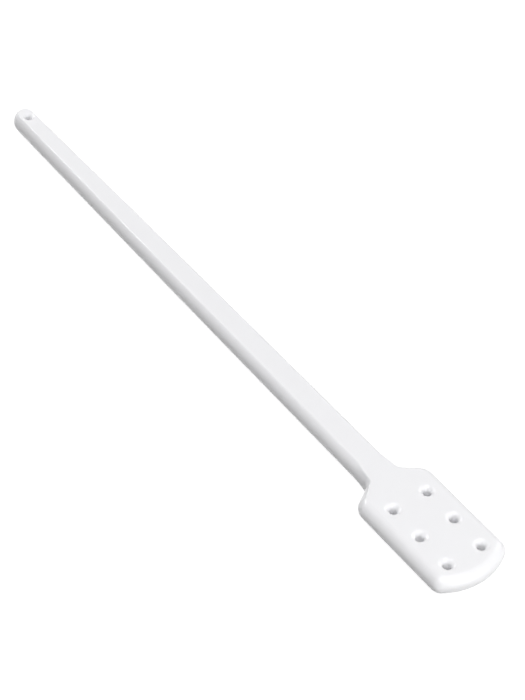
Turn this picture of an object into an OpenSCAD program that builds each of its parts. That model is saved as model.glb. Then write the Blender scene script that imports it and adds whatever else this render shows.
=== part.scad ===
// Stirring paddle: a long white moulding with a tapering handle, a hanging hole and a
// pierced blade, stiffened by a steel rod that is buried along its middle.
// It lies flat, blade towards -Y, with the origin under the middle of its length.

/* [Overall] */
// Length from the handle's end to the blade's tip
overall_length = 610; // [450:5:900]
// Thickness of the moulding, the same from end to end
thickness = 17.6; // [15:0.2:22]

/* [Handle] */
// Widest part of the handle at its free end
handle_end_width = 19; // [17:0.5:26]
// Widest part of the handle where it meets the blade
handle_neck_width = 28; // [24:0.5:36]
// How far each side swells past a straight taper, halfway along
handle_swell = 0.6; // [0:0.1:2]
// How far the bulging side stands out past the flat at the free end
end_bulge = 3.4; // [2.4:0.2:4.6]
// How far the bulging side stands out past the flat at the neck
neck_bulge = 5; // [3:0.2:6]
// Rounding of the edge between flat and side at the free end
end_edge_radius = 0.8; // [0.4:0.1:1.6]
// Rounding of the edge between flat and side at the neck
neck_edge_radius = 1.6; // [0.6:0.1:2.4]

/* [Hanging hole] */
// Bore of the hole near the handle's end
hang_bore = 5; // [4:0.1:8]
// Radius of the rounding round each mouth of the hanging hole
hang_rim_radius = 3; // [1:0.1:3.2]
// Distance from the handle's end to the middle of the hole
hang_inset = 14.8; // [12:0.2:24]

/* [Blade] */
// Widest part of the blade
blade_width = 67.5; // [60:0.5:90]
// Length from the tip to where the shoulders meet the sides
blade_length = 103; // [96:1:140]
// Angle at which the shoulders climb towards the neck
shoulder_angle = 31; // [26:1:45]
// Radius of the rounded shoulders
shoulder_radius = 11.5; // [10:0.5:18]
// Radius of the hollow curve from shoulder to handle
neck_radius = 6; // [4:0.5:18]
// Radius of the curved tip
tip_radius = 53.5; // [46:0.5:80]
// Radius of the corners of the tip
tip_corner_radius = 9.5; // [9:0.5:18]
// How far the rounded side of the blade stands out past the flat
blade_bulge = 7.5; // [5:0.5:8.5]
// How far the side of the shoulders stands out past the flat where they meet the handle
shoulder_bulge = 2.2; // [1.6:0.2:6]
// Length of handle over which its side swells out again past the shoulders
neck_run = 18; // [6:1:40]
// Rounding of the edge between the blade's flat and its side
blade_edge_radius = 3; // [1:0.5:4]
// Rounding of the edge between flat and side on the shoulders
shoulder_edge_radius = 1; // [0.6:0.1:2]

/* [Blade holes] */
// Bore of each hole at its narrowest
hole_bore = 6; // [5:0.2:8]
// Rows of holes along the blade
hole_rows = 3; // [1:1:3]
// Holes side by side in each row
hole_columns = 2; // [2:1:2]
// Distance between the rows
hole_row_pitch = 31; // [24:0.5:33]
// Distance between the columns
hole_column_pitch = 32; // [28:0.5:38]
// Distance from the tip to the nearest row
hole_tip_inset = 20.5; // [19:0.5:28]
// Radius of the rounding round each mouth of a blade hole
hole_rim_radius = 4.4; // [2:0.1:5.5]

/* [Stiffening rod] */
// Diameter of the steel rod
rod_diameter = 8; // [5:0.5:9]
// Bevel at each end of the rod
rod_bevel = 0.8; // [0.3:0.1:1.2]
// Plastic between the rod and the mouth of the hanging hole
rod_handle_cover = 12; // [6:1:30]
// Plastic between the rod and the blade's tip
rod_tip_cover = 28; // [20:1:50]
// Room between the rod or a spacer and the plastic round it
core_clearance = 0.1; // [0.05:0.05:0.2]

/* [Spacers] */
// Number of rings that centre the rod in the mould
spacer_count = 4; // [2:1:6]
// Length of each ring
spacer_length = 9; // [6:1:14]
// Plastic above and below each ring
spacer_cover = 2.5; // [2:0.1:3]
// Distance from each end of the rod to the nearest ring
spacer_inset = 16; // [8:1:40]

/* [Smoothness] */
// Steps round each corner of the outline
corner_steps = 7; // [4:1:10]
// Steps round the handle's end and the tip's curve, from the middle outwards
end_steps = 8; // [4:1:12]
// Steps along each side of the handle
handle_steps = 8; // [4:1:16]
// Steps where the handle's side swells out from the neck
neck_steps = 5; // [2:1:8]
// Steps over the bulge of the side
bulge_steps = 8; // [4:2:10]
// Steps round each edge of the side
edge_steps = 2; // [1:1:4]

/* [Hidden] */

half_thickness = thickness / 2;
handle_end_y = overall_length / 2;
tip_y = -overall_length / 2;
half_end = handle_end_width / 2;
half_neck = handle_neck_width / 2;
half_blade = blade_width / 2;

// Centres of the arcs that make the right half of the outline
handle_end_centre = [0, handle_end_y - half_end];
tip_centre = [0, tip_y + tip_radius];
tip_corner_x = half_blade - tip_corner_radius;
tip_corner_drop = sqrt(pow(tip_radius - tip_corner_radius, 2) - pow(tip_corner_x, 2));
tip_corner_centre = [tip_corner_x, tip_centre.y - tip_corner_drop];
shoulder_turn = 90 - shoulder_angle;
shoulder_y = tip_y + blade_length;
shoulder_centre = [
    half_blade - shoulder_radius,
    shoulder_y - shoulder_radius * tan(shoulder_turn / 2)
];
neck_y = shoulder_y + (half_blade - half_neck) * tan(shoulder_angle);
neck_centre = [half_neck + neck_radius, neck_y + neck_radius * tan(shoulder_turn / 2)];
handle_side_length = handle_end_centre.y - neck_centre.y;

hang_y = handle_end_y - hang_inset;
first_row_y = tip_y + hole_tip_inset;
blade_hole_places = [
    for (row = [0 : hole_rows - 1])
        for (column = [0 : hole_columns - 1])
            [
                (column - (hole_columns - 1) / 2) * hole_column_pitch,
                first_row_y + row * hole_row_pitch,
                0
            ]
];

// A rim's curve stops a little short of level, so that it meets the flat cleanly
rim_share = 0.95;
function rim_depth(radius) = rim_share * radius;
function rim_spread(radius) = radius * (1 - sqrt(1 - pow(rim_share, 2)));
cut_margin = 1;

rod_start_y = tip_y + rod_tip_cover;
rod_end_y = hang_y - hang_bore / 2 - rim_spread(hang_rim_radius) - rod_handle_cover;
rod_length = rod_end_y - rod_start_y;
spacer_diameter = thickness - 2 * spacer_cover;
spacer_pitch = (rod_length - 2 * spacer_inset - spacer_length) / (spacer_count - 1);
spacer_starts = [
    for (i = [0 : spacer_count - 1]) rod_start_y + spacer_inset + i * spacer_pitch
];

$fn = 96;

function mix(a, b, share) = a + (b - a) * share;
function ease(share) = share * share * (3 - 2 * share);
function clamp(value) = max(0, min(1, value));

// Evenly spaced steps from a to b, with b left out if last is false
function steps(a, b, count, last = true) =
    [for (i = [0 : last ? count : count - 1]) mix(a, b, i / count)];

// Outline points are [x, y, angle of the outward normal]
function arc(centre, radius, angles, hollow = false) =
    [
        for (a = angles)
            let (side = hollow ? -1 : 1)
                [centre.x + side * radius * cos(a), centre.y + side * radius * sin(a), a]
    ];

function handle_half_width(share) =
    mix(half_neck, half_end, share) + handle_swell * 4 * share * (1 - share);

// Steps along the handle, close together where its side swells out from the neck
neck_share = neck_run / handle_side_length;
handle_shares = concat(
    steps(0, neck_share, neck_steps, false),
    steps(neck_share, 1, handle_steps, false)
);

tip_corner_turn = asin(tip_corner_drop / (tip_radius - tip_corner_radius));

right_side = concat(
    arc(tip_centre, tip_radius, steps(-90, -tip_corner_turn, end_steps, false)),
    arc(tip_corner_centre, tip_corner_radius, steps(-tip_corner_turn, 0, corner_steps)),
    arc(shoulder_centre, shoulder_radius, steps(0, shoulder_turn, corner_steps)),
    arc(neck_centre, neck_radius, steps(shoulder_turn, 0, corner_steps, false), hollow = true),
    [
        for (share = handle_shares)
            [handle_half_width(share), neck_centre.y + share * handle_side_length, 0]
    ],
    arc(handle_end_centre, half_end, steps(0, 90, end_steps))
);
left_side = [
    for (i = [len(right_side) - 2 : -1 : 1])
        let (p = right_side[i]) [-p.x, p.y, 180 - p[2]]
];
outline = concat(right_side, left_side);

// A value that eases from the blade to the shoulders and on to the neck, then tapers to the end
handle_run_y = neck_centre.y + neck_run;
function share_between(y, low, high) = clamp((y - low) / (high - low));
function along(y, blade, shoulder, neck, end) =
    y < neck_centre.y
        ? mix(blade, shoulder, ease(share_between(y, shoulder_centre.y, neck_centre.y)))
        : y < handle_run_y
            ? mix(shoulder, neck, ease(share_between(y, neck_centre.y, handle_run_y)))
            : mix(neck, end, share_between(y, handle_run_y, handle_end_centre.y));

// The side is an arc about mid-height, joined to each flat by a small rounded edge
bulge_limit = 0.98 * half_thickness;
function bulge_at(y) =
    min(bulge_limit, along(y, blade_bulge, shoulder_bulge, neck_bulge, end_bulge));
function edge_at(y) =
    along(y, blade_edge_radius, shoulder_edge_radius, neck_edge_radius, end_edge_radius);
function side_radius(bulge) = (pow(bulge, 2) + pow(half_thickness, 2)) / (2 * bulge);
function edge_angle(bulge, edge) =
    asin((half_thickness - edge) / (side_radius(bulge) - edge));

// Slope angles of the side from the lower flat to the upper one
function side_angles(corner) = concat(
    steps(-90, -corner, edge_steps, false),
    steps(-corner, corner, bulge_steps, false),
    steps(corner, 90, edge_steps)
);

// One point of the side: how far inside the widest outline, and its height
function side_point(angle, corner, bulge, edge) =
    let (radius = side_radius(bulge))
        abs(angle) <= corner
            ? [radius * (1 - cos(angle)), half_thickness + radius * sin(angle)]
            : [
                radius - (radius - edge) * cos(corner) - edge * cos(angle),
                half_thickness + sign(angle) * (half_thickness - edge) + edge * sin(angle)
            ];

level_count = 2 * edge_steps + bulge_steps + 1;
outline_count = len(outline);

function skin_point(place, level) =
    let (
        bulge = bulge_at(place.y),
        edge = edge_at(place.y),
        corner = edge_angle(bulge, edge),
        side = side_point(side_angles(corner)[level], corner, bulge, edge)
    )
        [place.x - side[0] * cos(place[2]), place.y - side[0] * sin(place[2]), side[1]];

module moulding() {
    points = [
        for (level = [0 : level_count - 1])
            for (place = outline)
                skin_point(place, level)
    ];
    function at(level, i) = level * outline_count + i % outline_count;
    lower_flat = [for (i = [0 : outline_count - 1]) at(0, i)];
    upper_flat = [for (i = [outline_count - 1 : -1 : 0]) at(level_count - 1, i)];
    sides = [
        for (level = [0 : level_count - 2])
            for (i = [0 : outline_count - 1])
                for (
                    face = [
                        [at(level, i), at(level + 1, i), at(level + 1, i + 1)],
                        [at(level, i), at(level + 1, i + 1), at(level, i + 1)]
                    ]
                )
                    face
    ];
    polyhedron(points, concat([lower_flat, upper_flat], sides), convexity = 6);
}

// Cutter for a hole through the moulding with a rounded rim at both mouths
module rimmed_hole(bore, rim_radius) {
    wall = bore / 2;
    depth = rim_depth(rim_radius);
    rotate_extrude()
        difference() {
            translate([0, -cut_margin])
                square([wall + rim_spread(rim_radius), thickness + 2 * cut_margin]);
            translate([wall, depth])
                square([2 * rim_radius, thickness - 2 * depth]);
            for (height = [depth, thickness - depth])
                translate([wall + rim_radius, height])
                    circle(r = rim_radius);
        }
}

// A round bar along +Y at mid-height, starting at y
module bar(diameter, y, length) {
    translate([0, y, half_thickness])
        rotate([-90, 0, 0])
            cylinder(d = diameter, h = length);
}

// The space that the plastic leaves round the rod and its spacers
module core_space() {
    bar(rod_diameter + 2 * core_clearance, rod_start_y - core_clearance, rod_length + 2 * core_clearance);
    for (y = spacer_starts)
        bar(spacer_diameter + 2 * core_clearance, y - core_clearance, spacer_length + 2 * core_clearance);
}

module moulded_body() {
    color("whitesmoke")
        difference() {
            moulding();
            for (place = blade_hole_places)
                translate(place)
                    rimmed_hole(hole_bore, hole_rim_radius);
            translate([0, hang_y, 0])
                rimmed_hole(hang_bore, hang_rim_radius);
            core_space();
        }
}

module stiffening_rod() {
    radius = rod_diameter / 2;
    color("silver")
        translate([0, rod_start_y, half_thickness])
            rotate([-90, 0, 0])
                rotate_extrude()
                    polygon([
                        [0, 0],
                        [radius - rod_bevel, 0],
                        [radius, rod_bevel],
                        [radius, rod_length - rod_bevel],
                        [radius - rod_bevel, rod_length],
                        [0, rod_length]
                    ]);
}

module rod_spacers() {
    color("ivory")
        for (y = spacer_starts)
            difference() {
                bar(spacer_diameter, y, spacer_length);
                bar(rod_diameter + 2 * core_clearance, y - cut_margin, spacer_length + 2 * cut_margin);
            }
}

moulded_body();
stiffening_rod();
rod_spacers();
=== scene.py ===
"""Looks of a white moulded stirring paddle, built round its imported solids.

Lengths are in metres, in the frame of the solids: the blade points towards -Y, the handle's
end towards +Y, and the underside lies on z = 0.
"""

import logging
import math
from collections.abc import Callable
from dataclasses import dataclass, field
from enum import Enum

import bpy
from mathutils import Matrix, Vector


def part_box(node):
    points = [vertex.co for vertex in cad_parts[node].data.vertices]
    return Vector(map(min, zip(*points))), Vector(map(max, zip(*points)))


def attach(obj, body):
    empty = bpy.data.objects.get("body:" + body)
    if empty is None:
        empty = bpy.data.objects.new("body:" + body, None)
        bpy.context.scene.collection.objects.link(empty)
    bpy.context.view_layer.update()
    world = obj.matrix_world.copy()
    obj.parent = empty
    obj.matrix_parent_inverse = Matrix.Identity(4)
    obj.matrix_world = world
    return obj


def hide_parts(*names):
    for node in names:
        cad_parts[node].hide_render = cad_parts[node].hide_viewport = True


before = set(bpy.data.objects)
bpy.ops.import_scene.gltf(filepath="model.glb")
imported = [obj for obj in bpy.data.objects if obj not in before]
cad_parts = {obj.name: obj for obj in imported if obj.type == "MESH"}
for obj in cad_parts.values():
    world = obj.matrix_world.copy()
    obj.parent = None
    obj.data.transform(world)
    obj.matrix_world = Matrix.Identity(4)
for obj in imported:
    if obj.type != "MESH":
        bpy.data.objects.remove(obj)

LOG = logging.getLogger("stirring_paddle")
MILLIMETRE = 0.001
MICROMETRE = 0.001 * MILLIMETRE

Number = float | int
Colour = tuple[float, float, float]
Point = tuple[float, float, float]
Stops = tuple[tuple[float, float], ...]


class Node(Enum):
    """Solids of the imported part."""

    BODY = "moulded_body"
    ROD = "stiffening_rod"
    SPACERS = "rod_spacers"


# Shader maths


class Value:
    """An output socket that adds Math nodes when it is used in an expression."""

    def __init__(self, shader: "Shader", socket: bpy.types.NodeSocket) -> None:
        """Wraps a socket.

        Args:
            shader: the material whose nodes the expression adds to.
            socket: the output socket to wrap.
        """
        self.shader = shader
        self.socket = socket

    def _math(self, operation: str, *operands: "Value | Number") -> "Value":
        """Adds one Math node and returns its result."""
        return self.shader.math(operation, *operands)

    def __add__(self, other: "Value | Number") -> "Value":
        """Sum."""
        return self._math("ADD", self, other)

    def __radd__(self, other: Number) -> "Value":
        """Sum with a number on the left."""
        return self._math("ADD", other, self)

    def __sub__(self, other: "Value | Number") -> "Value":
        """Difference."""
        return self._math("SUBTRACT", self, other)

    def __rsub__(self, other: Number) -> "Value":
        """Difference with a number on the left."""
        return self._math("SUBTRACT", other, self)

    def __mul__(self, other: "Value | Number") -> "Value":
        """Product."""
        return self._math("MULTIPLY", self, other)

    def __rmul__(self, other: Number) -> "Value":
        """Product with a number on the left."""
        return self._math("MULTIPLY", other, self)

    def __truediv__(self, other: "Value | Number") -> "Value":
        """Quotient."""
        return self._math("DIVIDE", self, other)

    def __rtruediv__(self, other: Number) -> "Value":
        """Quotient with a number on the left."""
        return self._math("DIVIDE", other, self)


class Shader:
    """The node tree of one material or of the world."""

    def __init__(self, owner: bpy.types.Material | bpy.types.World) -> None:
        """Clears the owner's nodes and keeps its tree.

        Args:
            owner: the material or world to write.
        """
        owner.use_nodes = True
        self.tree = owner.node_tree
        self.tree.nodes.clear()

    def node(
        self,
        kind: str,
        settings: dict[str, object] | None = None,
        inputs: dict[str | int, object] | None = None,
    ) -> bpy.types.Node:
        """Adds a node, sets its settings, then its sockets.

        Args:
            kind: the node's type name.
            settings: attributes of the node, and "stops" for a ramp's (place, grey) pairs.
            inputs: values or links by socket name or number.

        Returns:
            The new node.
        """
        made = self.tree.nodes.new(kind)
        for name, value in (settings or {}).items():
            if name == "stops":
                self._set_stops(made.color_ramp, value)
            else:
                setattr(made, name, value)
        for name, value in (inputs or {}).items():
            self._feed(made.inputs[name], value)
        return made

    def _set_stops(self, ramp: bpy.types.ColorRamp, stops: Stops) -> None:
        """Gives a ramp its grey stops.

        Args:
            ramp: the ramp to change.
            stops: (place, grey) pairs in rising order.
        """
        while len(ramp.elements) < len(stops):
            ramp.elements.new(1.0)
        for element, (place, grey) in zip(ramp.elements, stops):
            element.position = place
            element.color = (grey, grey, grey, 1.0)

    def _feed(self, socket: bpy.types.NodeSocket, value: object) -> None:
        """Links a socket or sets its value.

        Args:
            socket: the input socket.
            value: a Value, an output socket, a number or a tuple.
        """
        if isinstance(value, Value):
            self.tree.links.new(value.socket, socket)
        elif isinstance(value, bpy.types.NodeSocket):
            self.tree.links.new(value, socket)
        elif isinstance(value, tuple) and socket.type == "RGBA" and len(value) == 3:
            socket.default_value = (*value, 1.0)
        else:
            socket.default_value = value

    def math(self, operation: str, *operands: Value | Number, clamp: bool = False) -> Value:
        """Adds a Math node.

        Args:
            operation: the operation's name.
            operands: one, two or three values or numbers.
            clamp: whether the result is held between 0 and 1.

        Returns:
            The node's result.
        """
        made = self.node(
            "ShaderNodeMath",
            {"operation": operation, "use_clamp": clamp},
            dict(enumerate(operands)),
        )
        return Value(self, made.outputs[0])

    def ramp(self, value: Value, stops: Stops) -> Value:
        """Maps a value through a smooth grey ramp.

        Args:
            value: the value to map.
            stops: (place, grey) pairs in rising order.

        Returns:
            The ramp's grey as a value.
        """
        made = self.node("ShaderNodeValToRGB", {"stops": stops}, {0: value})
        made.color_ramp.interpolation = "EASE"
        return Value(self, made.outputs["Color"])

    def stretched(self, stretch: Point) -> bpy.types.NodeSocket:
        """Object coordinates scaled along each axis.

        Args:
            stretch: factors for x, y and z.

        Returns:
            The scaled coordinates.
        """
        place = self.node("ShaderNodeTexCoord").outputs["Object"]
        return self.node("ShaderNodeMapping", {}, {"Vector": place, "Scale": stretch}).outputs[0]

    def noise(self, grain: float, detail: float = 2.0, stretch: Point = (1, 1, 1)) -> Value:
        """Soft noise of a stated grain.

        Args:
            grain: size of one blotch, in metres.
            detail: how many finer layers are added.
            stretch: scaling of the coordinates, below 1 to draw the blotches out.

        Returns:
            The noise, about 0 to 1.
        """
        made = self.node(
            "ShaderNodeTexNoise",
            {},
            {"Vector": self.stretched(stretch), "Scale": 1 / grain, "Detail": detail},
        )
        return Value(self, made.outputs[0])

    def axis(self, name: str) -> Value:
        """One object coordinate, in metres.

        Args:
            name: "X", "Y" or "Z".

        Returns:
            The coordinate as a value.
        """
        place = self.node("ShaderNodeTexCoord").outputs["Object"]
        return Value(self, self.node("ShaderNodeSeparateXYZ", {}, {0: place}).outputs[name])

    def mixed_colour(self, share: Value, first: Colour, second: Colour) -> bpy.types.NodeSocket:
        """Mixes two colours.

        Args:
            share: 0 for the first colour, 1 for the second.
            first: linear colour.
            second: linear colour.

        Returns:
            The mixed colour.
        """
        made = self.node(
            "ShaderNodeMix",
            {"data_type": "RGBA"},
            {"Factor": share, 6: (*first, 1.0), 7: (*second, 1.0)},
        )
        return made.outputs[2]

    def bump(
        self, height: Value, depth: float, below: bpy.types.NodeSocket | None = None
    ) -> bpy.types.NodeSocket:
        """Adds a Bump node.

        Args:
            height: the height as a share of the depth.
            depth: real height of the relief, in metres.
            below: the normal that the relief lies on.

        Returns:
            The bumped normal.
        """
        inputs: dict[str | int, object] = {"Height": height, "Distance": depth, "Strength": 1.0}
        if below is not None:
            inputs["Normal"] = below
        return self.node("ShaderNodeBump", {}, inputs).outputs[0]

    def surface(self, inputs: dict[str | int, object]) -> None:
        """Adds the Principled shader and the material's output.

        Args:
            inputs: values or links of the Principled sockets.
        """
        shader = self.node("ShaderNodeBsdfPrincipled", {}, inputs)
        self.node("ShaderNodeOutputMaterial", {}, {"Surface": shader.outputs[0]})


def new_material(name: str) -> tuple[bpy.types.Material, Shader]:
    """Makes an empty material.

    Args:
        name: the material's name.

    Returns:
        The material and its shader.
    """
    material = bpy.data.materials.new(name)
    return material, Shader(material)


# Finishes


@dataclass(frozen=True)
class GlossyMoulding:
    """White plastic as it leaves a polished mould, with the marks of light use.

    The wear is full at the tip and fades over the reach of what the blade stirs. Some of it is
    everywhere.
    """

    name: str = "glossy_white_moulding"
    clean: Colour = (0.885, 0.884, 0.905)
    used: Colour = (0.865, 0.864, 0.875)
    roughness: float = 0.30
    blotchy_roughness: float = 0.10
    stirred_roughness: float = 0.04
    refraction: float = 1.5
    body_shine: float = 0.2
    coat: float = 0.5
    coat_roughness: float = 0.08
    glow_depth: float = 3 * MILLIMETRE
    stirred_reach: float = 140 * MILLIMETRE
    stirred_fade: Stops = ((0.0, 1.0), (0.5, 0.6), (1.0, 0.0))
    stirred_wear: float = 0.5
    general_wear: float = 0.25
    blotch_grain: float = 27.5 * MILLIMETRE
    ripple_grain: float = 55 * MILLIMETRE
    ripple_depth: float = 0.08 * MILLIMETRE
    skin_grain: float = 3.5 * MILLIMETRE
    skin_depth: float = 0.003 * MILLIMETRE
    scratch_grain: float = 0.5 * MILLIMETRE
    scratch_depth: float = 0.002 * MILLIMETRE
    scratch_stretch: float = 0.02

    def material(self, tip_y: float) -> bpy.types.Material:
        """Makes the finish.

        Args:
            tip_y: the blade's tip, from which the wear of stirring fades.

        Returns:
            The material.
        """
        material, shader = new_material(self.name)
        blotches = shader.noise(self.blotch_grain, 3.0)
        ripple = shader.noise(self.ripple_grain, 1.0)
        skin = shader.noise(self.skin_grain, 2.0)
        scratches = shader.noise(self.scratch_grain, 2.0, (1.0, self.scratch_stretch, 1.0))
        from_tip = shader.axis("Y") - tip_y
        stirred = shader.ramp(from_tip / self.stirred_reach, self.stirred_fade)
        wear = stirred * self.stirred_wear + self.general_wear
        worn = shader.math("MULTIPLY", blotches, wear, clamp=True)
        uneven = (blotches - 0.5) * self.blotchy_roughness
        normal = shader.bump(ripple, self.ripple_depth)
        normal = shader.bump(skin, self.skin_depth, normal)
        normal = shader.bump(scratches, self.scratch_depth, normal)
        shader.surface(
            {
                "Base Color": shader.mixed_colour(worn, self.clean, self.used),
                "Roughness": self.roughness + uneven + stirred * self.stirred_roughness,
                "IOR": self.refraction,
                "Specular IOR Level": self.body_shine,
                "Subsurface Weight": 1.0,
                "Subsurface Radius": (1.0, 1.0, 1.0),
                "Subsurface Scale": self.glow_depth,
                "Coat Weight": self.coat,
                "Coat Roughness": self.coat_roughness,
                "Normal": normal,
            }
        )
        return material


@dataclass(frozen=True)
class DrawnSteel:
    """Bright round bar with the fine lines that drawing leaves along it."""

    name: str = "drawn_steel"
    bright: Colour = (0.60, 0.61, 0.63)
    dull: Colour = (0.46, 0.46, 0.47)
    patch_grain: float = 18 * MILLIMETRE
    roughness: float = 0.24
    line_roughness: float = 0.14
    line_grain: float = 0.35 * MILLIMETRE
    line_stretch: float = 0.01
    line_depth: float = 0.004 * MILLIMETRE

    def material(self) -> bpy.types.Material:
        """Makes the finish and returns the material."""
        material, shader = new_material(self.name)
        lines = shader.noise(self.line_grain, 3.0, (1.0, self.line_stretch, 1.0))
        patches = shader.noise(self.patch_grain, 3.0)
        shader.surface(
            {
                "Base Color": shader.mixed_colour(patches, self.bright, self.dull),
                "Metallic": 1.0,
                "Roughness": self.roughness + lines * self.line_roughness,
                "Normal": shader.bump(lines, self.line_depth),
            }
        )
        return material


@dataclass(frozen=True)
class PlainMoulding:
    """Dull off-white plastic of a small hidden moulding."""

    name: str = "plain_off_white_moulding"
    light: Colour = (0.80, 0.79, 0.74)
    deep: Colour = (0.72, 0.71, 0.66)
    roughness: float = 0.5
    grain_roughness: float = 0.15
    grain: float = 1.2 * MILLIMETRE
    depth: float = 0.012 * MILLIMETRE

    def material(self) -> bpy.types.Material:
        """Makes the finish and returns the material."""
        material, shader = new_material(self.name)
        texture = shader.noise(self.grain, 3.0)
        shader.surface(
            {
                "Base Color": shader.mixed_colour(texture, self.light, self.deep),
                "Roughness": self.roughness + texture * self.grain_roughness,
                "Normal": shader.bump(texture, self.depth),
            }
        )
        return material


@dataclass(frozen=True)
class PaleFloor:
    """Matt white board that looks white to the camera and keeps the object's shadow."""

    name: str = "pale_floor"
    colour: Colour = (0.30, 0.30, 0.30)
    seen_glow: float = 0.88

    def material(self) -> bpy.types.Material:
        """Makes the finish and returns the material."""
        material, shader = new_material(self.name)
        board = shader.node(
            "ShaderNodeBsdfDiffuse", {}, {"Color": self.colour, "Roughness": 0.0}
        )
        glow = shader.node(
            "ShaderNodeEmission", {}, {"Strength": seen_directly(shader) * self.seen_glow}
        )
        both = shader.node("ShaderNodeAddShader", {}, {0: board.outputs[0], 1: glow.outputs[0]})
        shader.node("ShaderNodeOutputMaterial", {}, {"Surface": both.outputs[0]})
        return material


def seen_directly(shader: Shader) -> Value:
    """1 for what the camera sees straight, in a reflection or through glass, otherwise 0."""
    path = shader.node("ShaderNodeLightPath")
    seen = [
        Value(shader, path.outputs[name])
        for name in ("Is Camera Ray", "Is Glossy Ray", "Is Transmission Ray")
    ]
    return shader.math("MAXIMUM", shader.math("MAXIMUM", seen[0], seen[1]), seen[2])


# Modelling by hand


def deselect_all() -> None:
    """Leaves edit mode and deselects every object."""
    if bpy.context.object is not None and bpy.context.object.mode != "OBJECT":
        bpy.ops.object.mode_set(mode="OBJECT")
    bpy.ops.object.select_all(action="DESELECT")


def make_active(piece: bpy.types.Object) -> None:
    """Selects one object alone and makes it active."""
    deselect_all()
    piece.select_set(True)
    bpy.context.view_layer.objects.active = piece


def select_vertices(piece: bpy.types.Object, wanted: Callable[[Vector], bool]) -> None:
    """Selects vertices of the object in edit mode by their place.

    Args:
        piece: the object being edited.
        wanted: a test of a vertex's place.
    """
    bpy.ops.mesh.select_all(action="DESELECT")
    bpy.ops.object.mode_set(mode="OBJECT")
    for vertex in piece.data.vertices:
        vertex.select = wanted(vertex.co)
    bpy.ops.object.mode_set(mode="EDIT")


def settle(piece: bpy.types.Object) -> None:
    """Puts a finished piece's place into its mesh."""
    make_active(piece)
    bpy.ops.object.transform_apply(location=True, rotation=True, scale=True)


def eased(start: float, end: float, share: float) -> float:
    """Goes smoothly from one number to another.

    Args:
        start: the number at share 0 and below.
        end: the number at share 1 and above.
        share: how far along.

    Returns:
        The number at that share.
    """
    held = max(0.0, min(1.0, share))
    return start + (end - start) * held * held * (3 - 2 * held)


class Pen:
    """Draws a line of vertices in edit mode, each step growing from the last one."""

    def __init__(self, name: str, start: Point) -> None:
        """Makes a new object that holds a single selected vertex.

        Args:
            name: the object's name.
            start: the first point.
        """
        deselect_all()
        bpy.ops.mesh.primitive_plane_add(size=MILLIMETRE, location=start)
        self.piece = bpy.context.object
        self.piece.name = self.piece.data.name = name
        bpy.ops.object.transform_apply(location=True, rotation=True, scale=True)
        bpy.ops.object.mode_set(mode="EDIT")
        bpy.ops.mesh.select_mode(type="VERT")
        bpy.ops.mesh.select_all(action="SELECT")
        bpy.ops.mesh.merge(type="CENTER")
        self.place = Vector(start)

    def line_to(self, x: float, y: float, z: float | None = None) -> None:
        """Extrudes the last vertex straight to a point.

        Args:
            x: the point's x.
            y: the point's y.
            z: the point's z, or None to stay level.
        """
        target = Vector((x, y, self.place.z if z is None else z))
        bpy.ops.mesh.extrude_region_move(
            TRANSFORM_OT_translate={"value": target - self.place}
        )
        self.place = target

    def arc(self, centre: Point, turn: float, steps: int, axis: Point = (0, 0, 1)) -> None:
        """Spins the last vertex about a centre.

        Args:
            centre: centre of the arc.
            turn: angle in radians, by the right-hand rule about the axis.
            steps: number of edges.
            axis: axis of the turn.
        """
        bpy.ops.mesh.spin(
            steps=steps, angle=-turn, center=centre, axis=axis, use_auto_merge=False
        )
        turned = Matrix.Rotation(turn, 4, Vector(axis))
        self.place = Vector(centre) + turned @ (self.place - Vector(centre))


# The paddle


@dataclass(frozen=True)
class Profile:
    """A size of the side at four places along the paddle, in millimetres."""

    blade: float
    shoulder: float
    neck: float
    end: float


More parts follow.
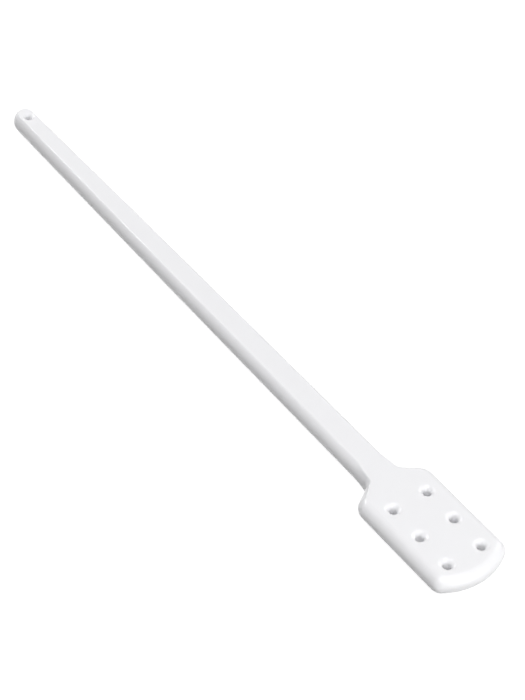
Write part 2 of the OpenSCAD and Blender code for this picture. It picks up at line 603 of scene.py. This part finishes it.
@dataclass
class Moulding:
    """The white moulding: handle, blade, side that bulges, and rimmed holes.

    The steps are numbers of edges, and the merge sizes say how near to each other points become
    one. The bulges and edges are in millimetres.
    """

    length: float
    width: float
    thickness: float
    end_width: float = 19 * MILLIMETRE
    neck_width: float = 28 * MILLIMETRE
    handle_swell: float = 0.6 * MILLIMETRE
    blade_length: float = 103 * MILLIMETRE
    shoulder_slope: float = math.radians(31)
    shoulder_radius: float = 11.5 * MILLIMETRE
    neck_radius: float = 6 * MILLIMETRE
    neck_run: float = 18 * MILLIMETRE
    tip_radius: float = 53.5 * MILLIMETRE
    tip_corner_radius: float = 9.5 * MILLIMETRE
    bulges: Profile = Profile(7.5, 2.2, 5.0, 3.4)
    edges: Profile = Profile(3.0, 1.0, 1.6, 0.8)
    hole_bore: float = 6.0 * MILLIMETRE
    hole_rim: float = 4.4 * MILLIMETRE
    hole_row_pitch: float = 31 * MILLIMETRE
    hole_column_pitch: float = 32 * MILLIMETRE
    hole_rows: int = 3
    hole_tip_inset: float = 20.5 * MILLIMETRE
    hang_bore: float = 5.0 * MILLIMETRE
    hang_rim: float = 3.0 * MILLIMETRE
    hang_inset: float = 14.8 * MILLIMETRE
    corner_steps: int = 14
    handle_steps: int = 24
    neck_steps: int = 10
    level_steps: int = 14
    rim_steps: int = 10
    bore_steps: int = 72
    rim_sweep: float = math.radians(80)
    draw_in_margin: float = 1.1
    seam_merge: float = 10 * MICROMETRE
    plug_merge: float = 1 * MICROMETRE
    cut_merge: float = 2 * MICROMETRE
    finish: GlossyMoulding = field(default_factory=GlossyMoulding)

    def build(self) -> bpy.types.Object:
        """Models and dresses the moulding.

        Returns:
            The finished piece.
        """
        piece = self._outline()
        self._raise_side(piece)
        self._draw_in(piece)
        self._close(piece)
        self._pierce(piece)
        self._smooth(piece)
        piece.data.materials.clear()
        piece.data.materials.append(self.finish.material(-self.length / 2))
        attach(piece, "root")
        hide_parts(Node.BODY.value)
        return piece

    @property
    def half(self) -> float:
        """Half the thickness."""
        return self.thickness / 2

    @property
    def shoulder_turn(self) -> float:
        """Angle from the blade's side to the shoulder."""
        return math.pi / 2 - self.shoulder_slope

    @property
    def end_centre(self) -> Vector:
        """Centre of the handle's half-round end."""
        return Vector((0, self.length / 2 - self.end_width / 2, 0))

    @property
    def tip_centre(self) -> Vector:
        """Centre of the tip's curve."""
        return Vector((0, self.tip_radius - self.length / 2, 0))

    @property
    def tip_corner_centre(self) -> Vector:
        """Centre of the tip's right corner."""
        x = self.width / 2 - self.tip_corner_radius
        reach = self.tip_radius - self.tip_corner_radius
        return Vector((x, self.tip_centre.y - math.sqrt(reach**2 - x**2), 0))

    @property
    def shoulder_centre(self) -> Vector:
        """Centre of the right shoulder's round."""
        drop = self.shoulder_radius * math.tan(self.shoulder_turn / 2)
        y = self.blade_length - self.length / 2 - drop
        return Vector((self.width / 2 - self.shoulder_radius, y, 0))

    @property
    def neck_centre(self) -> Vector:
        """Centre of the hollow curve from the right shoulder to the handle."""
        climb = (self.width - self.neck_width) / 2 * math.tan(self.shoulder_slope)
        rise = self.neck_radius * math.tan(self.shoulder_turn / 2)
        y = self.blade_length - self.length / 2 + climb + rise
        return Vector((self.neck_width / 2 + self.neck_radius, y, 0))

    def _outline(self) -> bpy.types.Object:
        """Draws the right half of the widest outline and mirrors it.

        Returns:
            The outline as a closed ring of edges.
        """
        pen = Pen("paddle_moulding", (0, -self.length / 2, 0))
        corner = self.tip_corner_centre
        side_turn = math.atan2(self.tip_centre.y - corner.y, corner.x)
        pen.arc(self.tip_centre, math.pi / 2 - side_turn, self.corner_steps)
        pen.arc(corner, side_turn, self.corner_steps)
        pen.line_to(self.width / 2, self.shoulder_centre.y)
        pen.arc(self.shoulder_centre, self.shoulder_turn, self.corner_steps)
        slope = Vector((math.cos(self.shoulder_turn), math.sin(self.shoulder_turn), 0))
        hollow_start = self.neck_centre - self.neck_radius * slope
        pen.line_to(hollow_start.x, hollow_start.y)
        pen.arc(self.neck_centre, -self.shoulder_turn, self.corner_steps)
        run = self.end_centre.y - self.neck_centre.y
        for share in self._handle_shares(self.neck_run / run):
            pen.line_to(self._handle_half_width(share), self.neck_centre.y + share * run)
        pen.arc(self.end_centre, math.pi / 2, self.corner_steps)
        deselect_all()
        make_active(pen.piece)
        mirror = pen.piece.modifiers.new("other_half", "MIRROR")
        mirror.use_axis = (True, False, False)
        mirror.merge_threshold = self.seam_merge
        bpy.ops.object.modifier_apply(modifier=mirror.name)
        return pen.piece

    def _handle_shares(self, neck_share: float) -> list[float]:
        """Shares of the way from neck to end, close together where the side swells out.

        Args:
            neck_share: share of the way at which the side has swelled out.

        Returns:
            The shares in rising order.
        """
        near = [neck_share * step / self.neck_steps for step in range(1, self.neck_steps + 1)]
        rest = 1 - neck_share
        far = [neck_share + rest * step / self.handle_steps for step in range(1, self.handle_steps + 1)]
        return near + far

    def _handle_half_width(self, share: float) -> float:
        """Half the handle's width at a share of the way from neck to end."""
        taper = self.neck_width / 2 + (self.end_width - self.neck_width) / 2 * share
        return taper + self.handle_swell * 4 * share * (1 - share)

    def _levels(self) -> list[float]:
        """Heights of the rings on the side, close together near the flats."""
        steps = [index / self.level_steps for index in range(2 * self.level_steps + 1)]
        return [self.half * (1 - math.cos(math.pi / 2 * step)) for step in steps]

    def _raise_side(self, piece: bpy.types.Object) -> None:
        """Extrudes the outline upwards ring by ring into an open wall.

        Args:
            piece: the outline.
        """
        make_active(piece)
        bpy.ops.object.mode_set(mode="EDIT")
        bpy.ops.mesh.select_all(action="SELECT")
        levels = self._levels()
        for low, high in zip(levels, levels[1:]):
            bpy.ops.mesh.extrude_region_move(
                TRANSFORM_OT_translate={"value": (0, 0, high - low)}
            )
        bpy.ops.mesh.select_all(action="SELECT")
        bpy.ops.mesh.normals_make_consistent(inside=False)
        bpy.ops.object.mode_set(mode="OBJECT")

    def _along(self, y: float, sizes: Profile) -> float:
        """A size that eases from blade to shoulders and on to the neck, then tapers to the end.

        Args:
            y: place along the paddle.
            sizes: the size at the four places.

        Returns:
            The size at that place, in metres.
        """
        low, middle, high = self.shoulder_centre.y, self.neck_centre.y, self.end_centre.y
        swelled = middle + self.neck_run
        if y < middle:
            size = eased(sizes.blade, sizes.shoulder, (y - low) / (middle - low))
        elif y < swelled:
            size = eased(sizes.shoulder, sizes.neck, (y - middle) / (swelled - middle))
        else:
            share = min(1.0, (y - swelled) / (high - swelled))
            size = sizes.neck + (sizes.end - sizes.neck) * share
        return size * MILLIMETRE

    def _inset(self, y: float, z: float) -> float:
        """How far the side lies inside the widest outline.

        Args:
            y: place along the paddle.
            z: height.

        Returns:
            The inset.
        """
        bulge = self._along(y, self.bulges)
        edge = self._along(y, self.edges)
        radius = (bulge**2 + self.half**2) / (2 * bulge)
        corner = math.asin((self.half - edge) / (radius - edge))
        height = abs(z - self.half)
        if height <= radius * math.sin(corner):
            return radius - math.sqrt(radius**2 - height**2)
        rise = min(edge, max(0.0, height - (self.half - edge)))
        return radius - (radius - edge) * math.cos(corner) - math.sqrt(edge**2 - rise**2)

    def _draw_in(self, piece: bpy.types.Object) -> None:
        """Draws the wall in above and below mid-height, so that the side bulges.

        Args:
            piece: the open wall.
        """
        group = piece.vertex_groups.new(name="draw_in")
        # A weight can't pass 1, so full strength lies a little beyond the deepest inset.
        deepest = self.draw_in_margin * self.bulges.blade * MILLIMETRE
        for vertex in piece.data.vertices:
            weight = self._inset(vertex.co.y, vertex.co.z) / deepest
            group.add([vertex.index], weight, "REPLACE")
        make_active(piece)
        displace = piece.modifiers.new("draw_in", "DISPLACE")
        displace.direction = "NORMAL"
        displace.mid_level = 0.0
        displace.strength = -deepest
        displace.vertex_group = group.name
        bpy.ops.object.modifier_apply(modifier=displace.name)
        piece.vertex_groups.clear()

    def _close(self, piece: bpy.types.Object) -> None:
        """Fills the two flats.

        Args:
            piece: the bulging wall.
        """
        make_active(piece)
        bpy.ops.object.mode_set(mode="EDIT")
        for height in (0.0, self.thickness):
            select_vertices(piece, lambda place: abs(place.z - height) < MICROMETRE)
            bpy.ops.mesh.edge_face_add()
        bpy.ops.mesh.select_all(action="SELECT")
        bpy.ops.mesh.normals_make_consistent(inside=False)
        bpy.ops.object.mode_set(mode="OBJECT")

    def _cutter(self, bore: float, rim: float, x: float, y: float) -> bpy.types.Object:
        """Models the plug that cuts one rimmed hole.

        Args:
            bore: bore of the hole.
            rim: radius of its rounded rims.
            x: place of the hole.
            y: place of the hole.

        Returns:
            The plug.
        """
        sweep = self.rim_sweep
        outward = Vector((math.sin(sweep), 0, math.cos(sweep))) * rim
        bottom = Vector((x + bore / 2 + rim, y, rim))
        top = Vector((x + bore / 2 + rim, y, self.thickness - rim))
        start = bottom - Vector((math.cos(sweep), 0, math.sin(sweep))) * rim
        pen = Pen("hole_plug", (x, y, start.z - outward.z))
        pen.line_to(start.x + outward.x, y, start.z - outward.z)
        pen.line_to(start.x, y, start.z)
        pen.arc(bottom, sweep, self.rim_steps, (0, 1, 0))
        pen.line_to(x + bore / 2, y, top.z)
        pen.arc(top, sweep, self.rim_steps, (0, 1, 0))
        pen.line_to(pen.place.x + outward.x, y, pen.place.z + outward.z)
        pen.line_to(x, y, pen.place.z)
        bpy.ops.mesh.select_all(action="SELECT")
        bpy.ops.mesh.spin(
            steps=self.bore_steps, angle=math.tau, center=(x, y, 0), axis=(0, 0, 1)
        )
        bpy.ops.mesh.select_all(action="SELECT")
        bpy.ops.mesh.remove_doubles(threshold=self.plug_merge)
        bpy.ops.mesh.normals_make_consistent(inside=False)
        deselect_all()
        return pen.piece

    def _pierce(self, piece: bpy.types.Object) -> None:
        """Cuts the blade's holes and the hanging hole.

        Args:
            piece: the closed moulding.
        """
        x = self.hole_column_pitch / 2
        rows = [
            self.hole_tip_inset - self.length / 2 + row * self.hole_row_pitch
            for row in range(self.hole_rows)
        ]
        plugs = [
            self._cutter(self.hole_bore, self.hole_rim, side * x, y) for y in rows for side in (-1, 1)
        ]
        hang_y = self.length / 2 - self.hang_inset
        plugs.append(self._cutter(self.hang_bore, self.hang_rim, 0, hang_y))
        for plug in plugs:
            make_active(piece)
            cut = piece.modifiers.new("hole", "BOOLEAN")
            cut.operation = "DIFFERENCE"
            cut.solver = "EXACT"
            cut.object = plug
            bpy.ops.object.modifier_apply(modifier=cut.name)
            bpy.data.objects.remove(plug)

    def _smooth(self, piece: bpy.types.Object) -> None:
        """Shades the moulding smooth, with the flats kept level.

        Args:
            piece: the pierced moulding.
        """
        make_active(piece)
        bpy.ops.object.mode_set(mode="EDIT")
        bpy.ops.mesh.select_all(action="SELECT")
        bpy.ops.mesh.remove_doubles(threshold=self.cut_merge)
        bpy.ops.object.mode_set(mode="OBJECT")
        bpy.ops.object.shade_smooth()
        weighted = piece.modifiers.new("level_flats", "WEIGHTED_NORMAL")
        weighted.mode = "FACE_AREA"
        weighted.weight = 100
        weighted.keep_sharp = True
        bpy.ops.object.modifier_apply(modifier=weighted.name)
        settle(piece)


@dataclass
class BuriedCore:
    """The steel rod and its spacers, sealed in the moulding."""

    steel: DrawnSteel = field(default_factory=DrawnSteel)
    plastic: PlainMoulding = field(default_factory=PlainMoulding)

    def dress(self) -> None:
        """Gives the two carried-over solids their finishes."""
        for node, material in (
            (Node.ROD, self.steel.material()),
            (Node.SPACERS, self.plastic.material()),
        ):
            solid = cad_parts[node.value]
            solid.data.materials.clear()
            solid.data.materials.append(material)
            LOG.info("dressed %s", solid.name)


# The studio


@dataclass
class Softbox:
    """A square area lamp that faces the middle of the paddle.

    The bearing is in degrees from +X towards +Y.
    """

    name: str
    bearing: float
    elevation: float
    power: float
    distance: float = 2.0
    size: float = 1.2

    def build(self) -> bpy.types.Object:
        """Hangs the lamp and returns it."""
        lamp = bpy.data.lights.new(self.name, "AREA")
        lamp.shape = "SQUARE"
        lamp.size = self.size
        lamp.energy = self.power
        holder = bpy.data.objects.new(self.name, lamp)
        bpy.context.scene.collection.objects.link(holder)
        bearing, elevation = math.radians(self.bearing), math.radians(self.elevation)
        level = math.cos(elevation)
        away = Vector((level * math.cos(bearing), level * math.sin(bearing), math.sin(elevation)))
        holder.location = away * self.distance
        holder.rotation_euler = away.to_track_quat("Z", "Y").to_euler()
        return holder


@dataclass
class Studio:
    """Floor, surroundings, lamps and camera."""

    floor_size: float = 8.0
    floor: PaleFloor = field(default_factory=PaleFloor)
    lamps: tuple[Softbox, ...] = (
        Softbox("left_softbox", 225, 55, 12.7),
        Softbox("tip_softbox", 260, 55, 15.4),
        Softbox("low_tip_softbox", 275, 8, 21.0),
        Softbox("back_softbox", 111, 44, 10.5, distance=2.2, size=0.5),
        Softbox("low_back_softbox", 92, 28, 6.5, distance=1.5, size=0.45),
        Softbox("low_right_softbox", 0, 28, 9.0),
    )
    camera_place: Point = (-0.8519, -1.0501, 1.3602)
    camera_heading: float = math.radians(40.166)
    camera_tilt: float = math.radians(45.44)
    camera_roll: float = math.radians(4.918)
    focal_pixels: float = 2442.5
    picture_height: int = 700
    furthest_seen: float = 50.0

    def build(self) -> None:
        """Sets up everything that isn't the object."""
        self._lay_floor()
        self._light_surroundings()
        for lamp in self.lamps:
            lamp.build()
            LOG.info("hung %s", lamp.name)
        self._place_camera()
        bpy.context.scene.view_settings.view_transform = "Standard"

    def _lay_floor(self) -> None:
        """Lays the board that the paddle rests on."""
        deselect_all()
        bpy.ops.mesh.primitive_plane_add(size=self.floor_size)
        board = bpy.context.object
        board.name = "floor"
        board.data.materials.append(self.floor.material())

    def _light_surroundings(self) -> None:
        """Makes the world white to look at, in mirror images too, and dark as a light."""
        world = bpy.data.worlds.new("white_studio")
        bpy.context.scene.world = world
        shader = Shader(world)
        white = {"Color": (1.0, 1.0, 1.0), "Strength": seen_directly(shader)}
        sky = shader.node("ShaderNodeBackground", {}, white)
        shader.node("ShaderNodeOutputWorld", {}, {"Surface": sky.outputs[0]})

    def _place_camera(self) -> None:
        """Puts the camera where the photograph was taken from."""
        camera = bpy.data.cameras.new("camera")
        camera.lens = camera.sensor_width * self.focal_pixels / self.picture_height
        camera.clip_end = self.furthest_seen
        holder = bpy.data.objects.new("camera", camera)
        bpy.context.scene.collection.objects.link(holder)
        turn = (
            Matrix.Rotation(-self.camera_heading, 3, "Z")
            @ Matrix.Rotation(math.pi / 2 - self.camera_tilt, 3, "X")
            @ Matrix.Rotation(self.camera_roll, 3, "Z")
        )
        holder.matrix_world = Matrix.Translation(self.camera_place) @ turn.to_4x4()
        bpy.context.scene.camera = holder


def main() -> None:
    """Builds the paddle and its studio."""
    logging.basicConfig(level=logging.INFO, format="%(message)s")
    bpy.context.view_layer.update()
    low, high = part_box(Node.BODY.value)
    size = high - low
    moulding = Moulding(length=size.y, width=size.x, thickness=size.z).build()
    LOG.info("built %s with %d faces", moulding.name, len(moulding.data.polygons))
    BuriedCore().dress()
    Studio().build()


if __name__ == "__main__":
    main()
